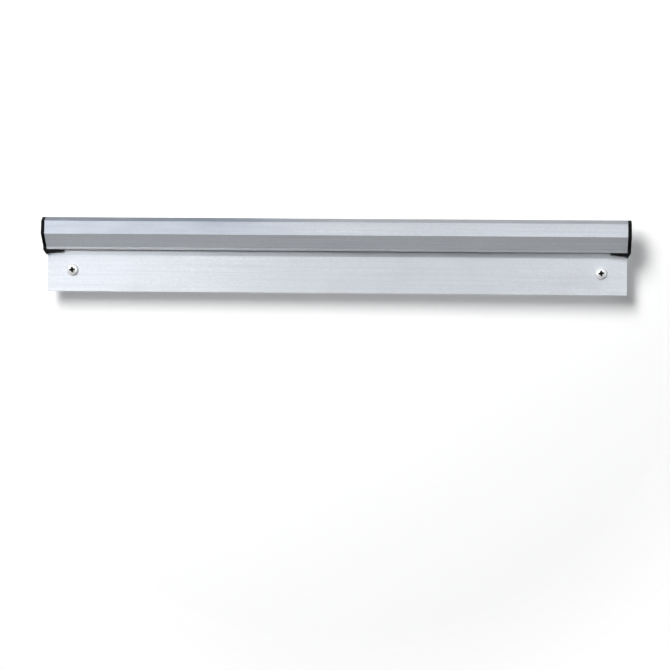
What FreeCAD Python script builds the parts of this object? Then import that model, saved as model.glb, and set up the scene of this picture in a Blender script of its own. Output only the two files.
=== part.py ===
import FreeCAD, Part

import math
import os

Vector = FreeCAD.Vector

# The rail runs along X and hangs on a wall. Its back lies on the plane Y = 0, its front faces -Y
# and Z is up. The origin is on the wall plane, midway between the two screws. All in millimetres.

# Extrusion: a flat plate with a faceted hood along its top
rail_length = 457.2
plate_thickness = 1.6
plate_drop = 33.1
hood_wall = 1.5
slot_gap = 5.0
lip_height = 2.1
lip_lean = 0.8
lower_face_height = 9.8
shoulder_setback = 1.5
chamfer_height = 3.1
chamfer_depth = 5.0
hood_edge_radius = 0.5
plate_edge_radius = 0.3

# Glass balls that grip the tickets
ball_radius = 7.0
ball_clearance = 0.15
ball_play = 0.3
ball_front_room = 1.9
ball_headroom = 2.5

# Wall screws, with a pan head and a cross recess
screw_inset = 20.0
screw_rise = 17.2
screw_radius = 2.4
screw_hole_clearance = 0.2
neck_clearance = 0.1
plain_shank_length = 6.0
thread_length = 20.0
thread_pitch = 2.0
thread_depth = 0.6
thread_crest_width = 0.25
thread_root_width = 0.9
thread_relief = 0.05
point_length = 5.0
head_radius = 4.7
head_height = 3.1
head_crown = 0.5
head_side_radius = 1.8
recess_radius = 2.5
recess_depth = 2.2
recess_floor_radius = 1.1
recess_wing_width = 1.3
recess_wing_floor = 0.7
recess_core_radius = 1.25
recess_core_floor = 0.7
recess_turn_degrees = (7.0, 5.0)

# Plastic end caps: a flange over the hood's end and a plug inside it
flange_thickness = 2.9
flange_rounding = 1.0
flange_skin = 0.3
tip_drop = 3.9
tip_thickness = 0.4
plug_length = 13.0
plug_clearance = 0.1
plug_wall = 1.6
foot_drop_at_flange = 2.8
foot_drop_at_nose = 1.6
foot_nose_radius = 0.8


def inset_line(start, end, inset):
    """A point and a direction for the line from start to end, moved to its left by inset."""
    run = end[0] - start[0]
    rise = end[1] - start[1]
    length = math.hypot(run, rise)
    direction = (run / length, rise / length)
    point = (start[0] - direction[1] * inset, start[1] + direction[0] * inset)
    return point, direction


def crossing(first, second):
    """The point where two lines cross."""
    (y1, z1), (dy1, dz1) = first
    (y2, z2), (dy2, dz2) = second
    reach = ((y2 - y1) * dz2 - (z2 - z1) * dy2) / (dy1 * dz2 - dz1 * dy2)
    return y1 + dy1 * reach, z1 + dz1 * reach


def inset_outline(outline, insets):
    """A closed outline with each side moved inwards by its own distance."""
    count = len(outline)
    lines = [inset_line(outline[i], outline[(i + 1) % count], insets[i]) for i in range(count)]
    return [crossing(lines[i - 1], lines[i]) for i in range(count)]


def prism(outline, start_x, end_x):
    """A solid with a section in Y and Z, between two places along X."""
    points = [Vector(start_x, y, z) for y, z in outline]
    face = Part.Face(Part.makePolygon(points + points[:1]))
    return face.extrude(Vector(end_x - start_x, 0, 0))


def side_prism(outline, start_y, end_y):
    """A solid with a section in X and Z, between two places along Y."""
    points = [Vector(x, start_y, z) for x, z in outline]
    face = Part.Face(Part.makePolygon(points + points[:1]))
    return face.extrude(Vector(0, end_y - start_y, 0))


def round_along_x(solid, corners, radius):
    """Round the edges that run along X through the given corners of the section."""
    edges = []
    for edge in solid.Edges:
        start, end = edge.Vertexes[0].Point, edge.Vertexes[-1].Point
        for y, z in corners:
            if all(math.hypot(p.y - y, p.z - z) < 1e-4 for p in (start, end)):
                edges.append(edge)
    return solid.makeFillet(radius, edges)


# Heights of the section, from the plate's lower edge up to the ridge
plate_bottom = -screw_rise
lip_bottom = plate_bottom + plate_drop
lip_top = lip_bottom + lip_height
ridge_z = lip_top + lower_face_height

# Depths of the section, from the wall to the front
lip_depth = plate_thickness + slot_gap + hood_wall
hood_depth = plate_thickness + 2 * ball_radius + ball_front_room + hood_wall
shoulder_depth = hood_depth - shoulder_setback
roof_depth = shoulder_depth - chamfer_depth

# A ball sits between the plate and the sloping lower face of the hood
ball_reach = ball_radius + ball_clearance
lip_corner = (-lip_depth, lip_top)
ridge = (-hood_depth, ridge_z)
slope = inset_line(ridge, lip_corner, hood_wall + ball_reach)
plate_line = inset_line((0, 0), (0, 1), plate_thickness + ball_reach)
ball_seat = crossing(slope, plate_line)

# The roof clears the balls, and the faces between it and the ridge follow
roof_z = ball_seat[1] + ball_radius + ball_headroom + hood_wall
shoulder_z = roof_z - chamfer_height
shoulder = (-shoulder_depth, shoulder_z)

# Outline of the hood, with its open slot and the plate as the last two sides
hood_outline = [
    (0, roof_z),
    (-roof_depth, roof_z),
    shoulder,
    ridge,
    lip_corner,
    (-lip_depth, lip_bottom),
    (0, lip_bottom),
]
lip_foot = (-lip_depth + lip_lean, lip_bottom)
cavity_outline = inset_outline(hood_outline, [hood_wall] * 5 + [0, plate_thickness])

# A ball climbs the slope until it meets the upper face
upper_line = inset_line(shoulder, ridge, hood_wall + ball_reach)
ball_top = crossing(slope, upper_line)
ball_travel = math.dist(ball_seat, ball_top)

# The balls fill the hood between the two plugs
ball_run = rail_length - 2 * plug_length
ball_count = int(ball_run / (2 * ball_radius + ball_play))
ball_pitch = ball_run / ball_count

# The screws stand in from the plate's ends
screw_places = [-rail_length / 2 + screw_inset, rail_length / 2 - screw_inset]
screw_hole_radius = screw_radius + screw_hole_clearance


def make_rail():
    """The aluminium extrusion: plate, hood and lip in one section, drilled for the screws."""
    # The hood's last outer side and the cavity's last two sides are open, so the two outlines join there
    outer = hood_outline[:5] + [lip_foot]
    inner = cavity_outline[:1] + cavity_outline[5:0:-1]
    plate_foot = [(-plate_thickness, plate_bottom), (0, plate_bottom)]
    section = outer + inner[1:] + inner[:1] + plate_foot
    rail = prism(section, -rail_length / 2, rail_length / 2)
    rail = round_along_x(rail, outer[1:], hood_edge_radius)
    rail = round_along_x(rail, plate_foot, plate_edge_radius)
    for x in screw_places:
        start = Vector(x, -2 * plate_thickness, 0)
        hole = Part.makeCylinder(screw_hole_radius, 3 * plate_thickness, start, Vector(0, 1, 0))
        rail = rail.cut(hole)
    return rail


def make_end_cap():
    """The cap for the right-hand end: a rounded flange, and a plug with a foot in the slot."""
    inner_x = rail_length / 2
    outer_x = inner_x + flange_thickness
    nose_x = inner_x - plug_length
    tip_z = lip_bottom - tip_drop

    # Flange, rounded along its outer edge, with its lower end cut to a tip
    flange_outline = hood_outline[:5] + [(-lip_depth, tip_z), (0, tip_z)]
    flange = prism(flange_outline, inner_x, outer_x)
    outer_edges = []
    for edge in flange.Edges:
        ends = [vertex.Point for vertex in edge.Vertexes]
        on_outer_face = all(p.x > outer_x - 1e-4 for p in ends)
        on_wall = all(p.y > -1e-4 for p in ends)
        at_foot = all(p.z < tip_z + 1e-4 for p in ends)
        if on_outer_face and not on_wall and not at_foot:
            outer_edges.append(edge)
    flange = flange.makeFillet(min(flange_rounding, flange_thickness - flange_skin), outer_edges)
    below = tip_z - tip_drop
    tip_cut = [
        (inner_x + tip_thickness, tip_z),
        (outer_x, lip_bottom),
        (outer_x + flange_thickness, lip_bottom),
        (outer_x + flange_thickness, below),
        (inner_x + tip_thickness, below),
    ]
    flange = flange.cut(side_prism(tip_cut, -hood_depth - 1, 1))

    # Plug, a loose copy of the cavity, with two pockets behind its nose
    plug_insets = [hood_wall + plug_clearance] * 5
    plug_insets += [-foot_drop_at_flange, plate_thickness + plug_clearance]
    plug = prism(inset_outline(hood_outline, plug_insets), nose_x, inner_x)
    foot_cut = [
        (inner_x, lip_bottom - foot_drop_at_flange),
        (nose_x, lip_bottom - foot_drop_at_nose),
        (nose_x - plug_length, lip_bottom - foot_drop_at_nose),
        (nose_x - plug_length, lip_bottom - 2 * foot_drop_at_flange),
        (inner_x, lip_bottom - 2 * foot_drop_at_flange),
    ]
    plug = plug.cut(side_prism(foot_cut, -hood_depth, 0))
    nose_z = lip_bottom - foot_drop_at_nose
    nose_edges = []
    for edge in plug.Edges:
        if all(math.hypot(v.X - nose_x, v.Z - nose_z) < 1e-4 for v in edge.Vertexes):
            nose_edges.append(edge)
    plug = plug.makeFillet(foot_nose_radius, nose_edges)

    room = hood_outline[:5] + [(0, lip_top)]
    pocket_insets = [hood_wall + plug_clearance + plug_wall] * 4
    pocket_insets += [plug_wall, plate_thickness + plug_clearance + plug_wall]
    pocket = prism(inset_outline(room, pocket_insets), nose_x, inner_x)
    web = Part.makeBox(plug_length, hood_depth, plug_wall)
    web.translate(Vector(nose_x, -hood_depth, ridge_z - plug_wall / 2))
    plug = plug.cut(pocket.cut(web))
    return flange.fuse(plug).removeSplitter()


def make_thread():
    """A thread ridge with a real helix, standing on the core along +Z from Z = 0."""
    root_radius = screw_radius - thread_relief - thread_depth
    crest_radius = screw_radius - thread_relief
    sunk_radius = root_radius - thread_relief
    profile = [
        Vector(sunk_radius, 0, -thread_root_width / 2),
        Vector(crest_radius, 0, -thread_crest_width / 2),
        Vector(crest_radius, 0, thread_crest_width / 2),
        Vector(sunk_radius, 0, thread_root_width / 2),
    ]
    wire = Part.makePolygon(profile + profile[:1])
    helix = Part.makeHelix(thread_pitch, thread_length - thread_root_width, sunk_radius)
    sweep = Part.BRepOffsetAPI.MakePipeShell(helix)
    sweep.setFrenetMode(True)
    sweep.add(wire)
    sweep.build()
    sweep.makeSolid()
    thread = Part.Solid(sweep.shape())
    thread.translate(Vector(0, 0, thread_root_width / 2))
    return thread


def make_recess():
    """The cross recess: two tapered wings and a tapered core, opening towards -Z at Z = 0."""
    core = Part.makeCone(recess_core_radius, recess_core_floor, recess_depth)
    recess = core
    for turn in (0, 90):
        half_widths = (recess_wing_width / 2, recess_wing_floor / 2)
        radii = (recess_radius, recess_floor_radius)
        rings = []
        for half_width, radius, z in zip(half_widths, radii, (0, recess_depth)):
            corners = [
                Vector(-radius, -half_width, z),
                Vector(radius, -half_width, z),
                Vector(radius, half_width, z),
                Vector(-radius, half_width, z),
            ]
            rings.append(Part.makePolygon(corners + corners[:1]))
        wings = Part.makeLoft(rings, True)
        wings.rotate(Vector(0, 0, 0), Vector(0, 0, 1), turn)
        recess = recess.fuse(wings)
    return recess.removeSplitter()


def make_screw():
    """One screw along +Z, with the seat under its head at Z = 0 and its head towards -Z."""
    root_radius = screw_radius - thread_relief - thread_depth
    neck_radius = screw_hole_radius - neck_clearance
    rim_radius = head_radius - head_side_radius
    crown_z = -head_height
    rim_z = crown_z + head_crown
    shank_end = plate_thickness + plain_shank_length
    thread_end = shank_end + thread_length
    side_mid = Vector(
        rim_radius + head_side_radius * math.sin(math.radians(45)),
        0,
        rim_z + head_side_radius * (1 - math.cos(math.radians(45))),
    )
    side_start = Vector(rim_radius, 0, rim_z)
    side_end = Vector(head_radius, 0, rim_z + head_side_radius)
    crown_mid = Vector(rim_radius / 2, 0, crown_z + head_crown / 4)
    below_head = [
        side_end,
        Vector(head_radius, 0, 0),
        Vector(neck_radius, 0, 0),
        Vector(screw_radius, 0, plate_thickness),
        Vector(screw_radius, 0, shank_end),
        Vector(root_radius, 0, shank_end + thread_depth),
        Vector(root_radius, 0, thread_end),
        Vector(0, 0, thread_end + point_length),
        Vector(0, 0, crown_z),
    ]
    edges = [
        Part.Arc(Vector(0, 0, crown_z), crown_mid, side_start).toShape(),
        Part.Arc(side_start, side_mid, side_end).toShape(),
    ]
    edges += Part.makePolygon(below_head).Edges
    body = Part.Face(Part.Wire(edges)).revolve(Vector(0, 0, 0), Vector(0, 0, 1), 360)
    thread = make_thread()
    thread.translate(Vector(0, 0, shank_end))
    recess = make_recess()
    recess.translate(Vector(0, 0, crown_z))
    return body.fuse(thread).cut(recess)


def make_screws():
    """Both screws through the plate, as a group of separate solids."""
    screws = []
    for x, turn in zip(screw_places, recess_turn_degrees):
        screw = make_screw()
        screw.rotate(Vector(0, 0, 0), Vector(0, 0, 1), turn)
        screw.rotate(Vector(0, 0, 0), Vector(1, 0, 0), -90)
        screw.translate(Vector(x, -plate_thickness, 0))
        screws.append(screw)
    return Part.makeCompound(screws)


def make_ball(index):
    """One ball of the row, resting in the wedge between the plate and the lower face."""
    x = -ball_run / 2 + (index + 0.5) * ball_pitch
    return Part.makeSphere(ball_radius, Vector(x, ball_seat[0], ball_seat[1]))


def main():
    os.makedirs("parts", exist_ok=True)
    cap = make_end_cap()
    nodes = {
        "rail_extrusion": make_rail(),
        "end_cap_right": cap,
        "end_cap_left": cap.mirror(Vector(0, 0, 0), Vector(1, 0, 0)),
        "wall_screws": make_screws(),
    }
    for index in range(ball_count):
        nodes[f"ball_{index + 1:02d}"] = make_ball(index)
    for name, shape in nodes.items():
        shape.exportStep(f"parts/{name}.step")
        print(name, "valid" if shape.isValid() else "INVALID", len(shape.Solids), round(shape.Volume, 2))
    print("ball seat", ball_seat, "travel", ball_travel, "count", ball_count, "pitch", ball_pitch)


main()
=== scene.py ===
import math

import bmesh
import bpy
from mathutils import Matrix, Vector


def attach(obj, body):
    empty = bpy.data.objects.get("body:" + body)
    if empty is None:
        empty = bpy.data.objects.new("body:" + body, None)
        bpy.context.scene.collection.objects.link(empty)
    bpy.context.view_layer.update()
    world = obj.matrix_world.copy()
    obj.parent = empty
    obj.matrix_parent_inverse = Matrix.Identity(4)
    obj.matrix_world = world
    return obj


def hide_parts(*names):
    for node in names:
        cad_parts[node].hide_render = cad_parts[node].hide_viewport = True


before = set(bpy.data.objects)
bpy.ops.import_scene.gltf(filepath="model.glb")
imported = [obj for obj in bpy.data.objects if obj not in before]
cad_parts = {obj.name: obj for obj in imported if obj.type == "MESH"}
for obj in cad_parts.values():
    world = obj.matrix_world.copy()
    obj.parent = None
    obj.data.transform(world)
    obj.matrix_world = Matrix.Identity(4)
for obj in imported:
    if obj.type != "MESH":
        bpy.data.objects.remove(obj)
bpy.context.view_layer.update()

# The rail hangs on a wall: X runs along it, the wall plane is Y = 0, its front faces -Y and Z is up.
# Lengths are in metres, and the tables of the section and of the recess are in millimetres.
MM = 0.001

# Extrusion: corners of the section as depth, height and the radius of the corner
RAIL_LENGTH = 457.2 * MM
PLATE_FRONT = -1.6 * MM
SECTION = [
    (0.0, 41.216, 0.0),
    (-12.5, 41.216, 0.5),
    (-17.5, 38.116, 0.5),
    (-19.0, 27.8, 0.5),
    (-8.1, 18.0, 0.5),
    (-7.3, 15.9, 0.5),
    (-6.6, 15.9, 0.0),
    (-6.6, 18.668, 0.0),
    (-17.4, 28.379, 0.0),
    (-16.116, 37.21, 0.0),
    (-12.073, 39.716, 0.0),
    (-1.6, 39.716, 0.0),
    (-1.6, -17.2, 0.3),
    (0.0, -17.2, 0.3),
]
RAIL_EDGE_BREAK = 0.12 * MM
RAIL_EDGE_WIDEST = 0.35 * MM
DRILL_LENGTH = 8 * MM

# Painted shade on the aluminium: the heights and depths over which each patch of it sets in or ends
PAINTED_SLOT_SHADE_ON_PLATE = (11.3 * MM, 12.1 * MM)
PAINTED_SLOT_SHADE_ON_LIP = (17.2 * MM, 19.0 * MM)
PAINTED_SLOT_SHADE_LIP_BACK = (-6.4 * MM, -6.0 * MM)
PAINTED_UPPER_SHADE_OVER_RIDGE = (27.4 * MM, 28.2 * MM)
PAINTED_UPPER_SHADE_ON_CHAMFER = (37.9 * MM, 38.3 * MM)
PAINTED_UPPER_SHADE_BACK_EDGE = (-1.2 * MM, -0.4 * MM)

# End caps: the flange's thickness, and the gate mark's place and outline as radius and depth
CAP_FLANGE = 2.9 * MM
CAP_EDGE_BREAK = 0.2 * MM
CAP_EDGE_WIDEST = 0.5 * MM
GATE_PLACE = (-9.5 * MM, 30.0 * MM)
GATE_ROWS = [
    (0.0, 0.16 * MM),
    (0.50 * MM, 0.14 * MM),
    (0.62 * MM, 0.42 * MM),
    (1.35 * MM, 0.42 * MM),
    (1.75 * MM, 0.0),
    (2.2 * MM, -0.5 * MM),
    (0.0, -0.5 * MM),
]

# Wall screws
SCREW_X = 208.6 * MM
HOLE_RADIUS = 2.6 * MM
SEAT_Y = PLATE_FRONT
HEAD_RADIUS = 4.7 * MM
HEAD_HEIGHT = 3.1 * MM
HEAD_CROWN = 0.5 * MM
HEAD_SIDE_RADIUS = 1.8 * MM
HEAD_FOOT = 0.15 * MM
HEAD_SEGMENTS = 96
CROWN_STEPS = 10
SIDE_STEPS = 12
SCUFF_RADIUS = HEAD_RADIUS + 0.25 * MM
SCUFF_HALF_WIDTH = 0.35 * MM
NECK_RADIUS = 2.5 * MM
SHANK_RADIUS = 2.4 * MM
CORE_RADIUS = 1.75 * MM
SHANK_END = 7.6 * MM
CORE_START = SHANK_END + 0.6 * MM
THREAD_END = 27.6 * MM
POINT_END = 32.6 * MM
POINT_MIDDLE = (0.55 * CORE_RADIUS, 2.6 * MM)
POINT_TIP = (0.12 * MM, 0.1 * MM)
THREAD_PITCH = 2.0 * MM
THREAD_RELIEF = 0.05 * MM
THREAD_HALF_ROOT = 0.45 * MM
THREAD_HALF_CREST = 0.125 * MM
THREAD_STEPS = 40.0

# Cross recess: depths of its outlines, and for the wings' length, half their width and the core's
# radius the size at the crown, what it loses down to the floor and what the flared mouth adds
RECESS_TURNS = (7.0, 5.0)
RECESS_DEPTHS = (-0.6, 0.0, 0.35, 1.1, 2.2)
RECESS_FLARE_DEPTH = 0.35
RECESS_FLOOR = 2.2
RECESS_MIDDLE = 2.45
RECESS_SIZES = [(2.5, 1.3, 0.0), (0.65, 0.28, 0.18), (1.25, 0.5, 0.30)]
RECESS_ARC_STEPS = 5
# Painted shade in the recess: how far from the axis and below the crown it reaches, and how far under the
# crown it starts
PAINTED_RECESS_SHADE_REACH = 2.6 * MM
PAINTED_RECESS_SHADE_START = 0.02 * MM

# Glass balls in the hood
BALL_COUNT = 30
BALL_RADIUS = 7.0 * MM
BALL_RUN = 431.2 * MM
BALL_SEAT = (-8.75 * MM, 30.216 * MM)
BALL_OUT_OF_ROUND = 0.03 * MM


def put(tree, kind, joins=None, **options):
    """Add a node, set its options, then join or set the inputs that are named."""
    node = tree.nodes.new(kind)
    for name, value in options.items():
        setattr(node, name, value)
    for name, value in (joins or {}).items():
        if isinstance(value, bpy.types.NodeSocket):
            tree.links.new(value, node.inputs[name])
        else:
            node.inputs[name].default_value = value
    return node


def calc(tree, operation, first, second=0.0, third=0.0, clamp=False):
    """One sum on one or more numbers."""
    joins = {0: first, 1: second, 2: third}
    return put(tree, "ShaderNodeMath", joins, operation=operation, use_clamp=clamp).outputs[0]


def spread(tree, value, low, high, to_low, to_high, smooth=False):
    """A number moved from one range to another, held within it."""
    joins = {"Value": value, "From Min": low, "From Max": high, "To Min": to_low, "To Max": to_high}
    kind = "SMOOTHSTEP" if smooth else "LINEAR"
    return put(tree, "ShaderNodeMapRange", joins, interpolation_type=kind).outputs["Result"]


def tint(tree, amount, first, second):
    """A colour between two colours, which this node takes at sockets 6 and 7 and gives at 2."""
    node = put(tree, "ShaderNodeMix", data_type="RGBA")
    for socket, value in zip((node.inputs[0], node.inputs[6], node.inputs[7]), (amount, first, second)):
        if isinstance(value, bpy.types.NodeSocket):
            tree.links.new(value, socket)
        elif isinstance(value, float):
            socket.default_value = value
        else:
            socket.default_value = (*value, 1.0)
    return node.outputs[2]


def vector(tree, **sides):
    """A point or direction put together from its X, Y and Z."""
    return put(tree, "ShaderNodeCombineXYZ", sides).outputs[0]


def new_tree(name, kind, inputs, outputs):
    """An empty node group with named inputs and outputs, and its two end nodes."""
    tree = bpy.data.node_groups.new(name, kind)
    for label, socket, value in inputs:
        item = tree.interface.new_socket(label, in_out="INPUT", socket_type="NodeSocket" + socket)
        if value is not None:
            item.default_value = value
    for label, socket in outputs:
        tree.interface.new_socket(label, in_out="OUTPUT", socket_type="NodeSocket" + socket)
    return tree, tree.nodes.new("NodeGroupInput").outputs, tree.nodes.new("NodeGroupOutput").inputs


def use(tree, group, joins):
    """Place a shared effect in a material with its own values."""
    return put(tree, "ShaderNodeGroup", joins, node_tree=group).outputs


# Surface effects that several finishes share


def make_fine_grain():
    """A fine even grain, with a height for the bump and a mask for tone."""
    inputs = [("Place", "Vector", None), ("Grain size", "Float", 0.0004), ("Depth", "Float", 0.5)]
    tree, given, result = new_tree(
        "fine grain", "ShaderNodeTree", inputs, [("Height", "Float"), ("Tone", "Float")]
    )
    scale = calc(tree, "DIVIDE", 1.0, given["Grain size"])
    joins = {"Vector": given["Place"], "Scale": scale, "Detail": 3.0, "Roughness": 0.65}
    noise = put(tree, "ShaderNodeTexNoise", joins).outputs["Fac"]
    joins = {"Vector": given["Place"], "Scale": scale}
    pits = put(tree, "ShaderNodeTexVoronoi", joins, feature="SMOOTH_F1").outputs["Distance"]
    height = calc(tree, "MULTIPLY_ADD", pits, 0.6, noise)
    tree.links.new(calc(tree, "MULTIPLY", height, given["Depth"]), result["Height"])
    tree.links.new(noise, result["Tone"])
    return tree


def make_handling_marks():
    """Hairline scratches and soft smudges from handling."""
    inputs = [("Place", "Vector", None), ("Spacing", "Float", 0.02), ("Wear", "Float", 0.5)]
    tree, given, result = new_tree(
        "handling marks", "ShaderNodeTree", inputs, [("Scratches", "Float"), ("Smudges", "Float")]
    )
    density = calc(tree, "DIVIDE", 1.0, given["Spacing"])
    hairs = None
    for turn, stretch in ((0.35, 40.0), (1.25, 55.0), (2.4, 34.0)):
        joins = {
            "Vector": given["Place"],
            "Rotation": (0.3 * turn, turn, 0.2 * turn),
            "Scale": (1.0, stretch, stretch),
        }
        turned = put(tree, "ShaderNodeMapping", joins).outputs[0]
        joins = {"Vector": turned, "Scale": density, "Detail": 1.0, "Distortion": 0.1}
        lines = put(tree, "ShaderNodeTexNoise", joins).outputs["Fac"]
        hair = spread(tree, lines, 0.70, 0.78, 0.0, 1.0)
        hairs = hair if hairs is None else calc(tree, "MAXIMUM", hairs, hair)
    joins = {"Vector": given["Place"], "Scale": density, "Detail": 2.0}
    patches = put(tree, "ShaderNodeTexNoise", joins).outputs["Fac"]
    cover = spread(tree, patches, 0.45, 0.65, 0.0, 1.0, True)
    scratches = calc(tree, "MULTIPLY", calc(tree, "MULTIPLY", hairs, cover), given["Wear"])
    tree.links.new(scratches, result["Scratches"])
    joins = {"Vector": given["Place"], "Scale": density, "Detail": 5.0, "Distortion": 0.8}
    soft = put(tree, "ShaderNodeTexNoise", joins).outputs["Fac"]
    smudge = spread(tree, soft, 0.5, 0.75, 0.0, 1.0, True)
    tree.links.new(calc(tree, "MULTIPLY", smudge, given["Wear"]), result["Smudges"])
    return tree


def make_worn_edges():
    """Where a rounded edge has been rubbed, broken up by noise."""
    inputs = [("Place", "Vector", None), ("Patch size", "Float", 0.006), ("Wear", "Float", 0.6)]
    tree, given, result = new_tree("worn edges", "ShaderNodeTree", inputs, [("Rubbed", "Float")])
    edge = put(tree, "ShaderNodeAttribute", attribute_name="edge").outputs["Fac"]
    scale = calc(tree, "DIVIDE", 1.0, given["Patch size"])
    joins = {"Vector": given["Place"], "Scale": scale, "Detail": 4.0}
    noise = put(tree, "ShaderNodeTexNoise", joins).outputs["Fac"]
    patch = spread(tree, noise, 0.35, 0.6, 0.25, 1.0, True)
    rubbed = calc(tree, "MULTIPLY", calc(tree, "MULTIPLY", edge, patch), given["Wear"], clamp=True)
    tree.links.new(rubbed, result["Rubbed"])
    return tree


def make_settled_dust():
    """A thin film of dust on what faces up."""
    inputs = [("Place", "Vector", None), ("Amount", "Float", 0.3)]
    tree, given, result = new_tree("settled dust", "ShaderNodeTree", inputs, [("Dust", "Float")])
    facing = put(tree, "ShaderNodeNewGeometry").outputs["Normal"]
    up = put(tree, "ShaderNodeSeparateXYZ", {0: facing}).outputs["Z"]
    lying = spread(tree, up, 0.55, 0.98, 0.0, 1.0, True)
    joins = {"Vector": given["Place"], "Scale": 160.0, "Detail": 6.0, "Roughness": 0.7}
    noise = put(tree, "ShaderNodeTexNoise", joins).outputs["Fac"]
    patch = spread(tree, noise, 0.3, 0.7, 0.2, 1.0)
    dust_and_painted_shade = calc(tree, "MULTIPLY", calc(tree, "MULTIPLY", lying, patch), given["Amount"])
    tree.links.new(dust_and_painted_shade, result["Dust"])
    return tree


fine_grain = make_fine_grain()
handling_marks = make_handling_marks()
worn_edges = make_worn_edges()
settled_dust = make_settled_dust()


def new_finish(name):
    """An empty material with its shader, its output and the object's own coordinates."""
    finish = bpy.data.materials.new(name)
    finish.use_nodes = True
    tree = finish.node_tree
    tree.nodes.clear()
    shader = tree.nodes.new("ShaderNodeBsdfPrincipled")
    output = tree.nodes.new("ShaderNodeOutputMaterial")
    tree.links.new(shader.outputs[0], output.inputs["Surface"])
    place = put(tree, "ShaderNodeTexCoord").outputs["Object"]
    return finish, tree, shader, place


def stretched_noise(tree, place, scale, detail=3.0):
    """Noise that is drawn out along one or more axes."""
    mapped = put(tree, "ShaderNodeMapping", {"Vector": place, "Scale": scale}).outputs[0]
    joins = {"Vector": mapped, "Scale": 1.0, "Detail": detail}
    return put(tree, "ShaderNodeTexNoise", joins).outputs["Fac"]


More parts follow.
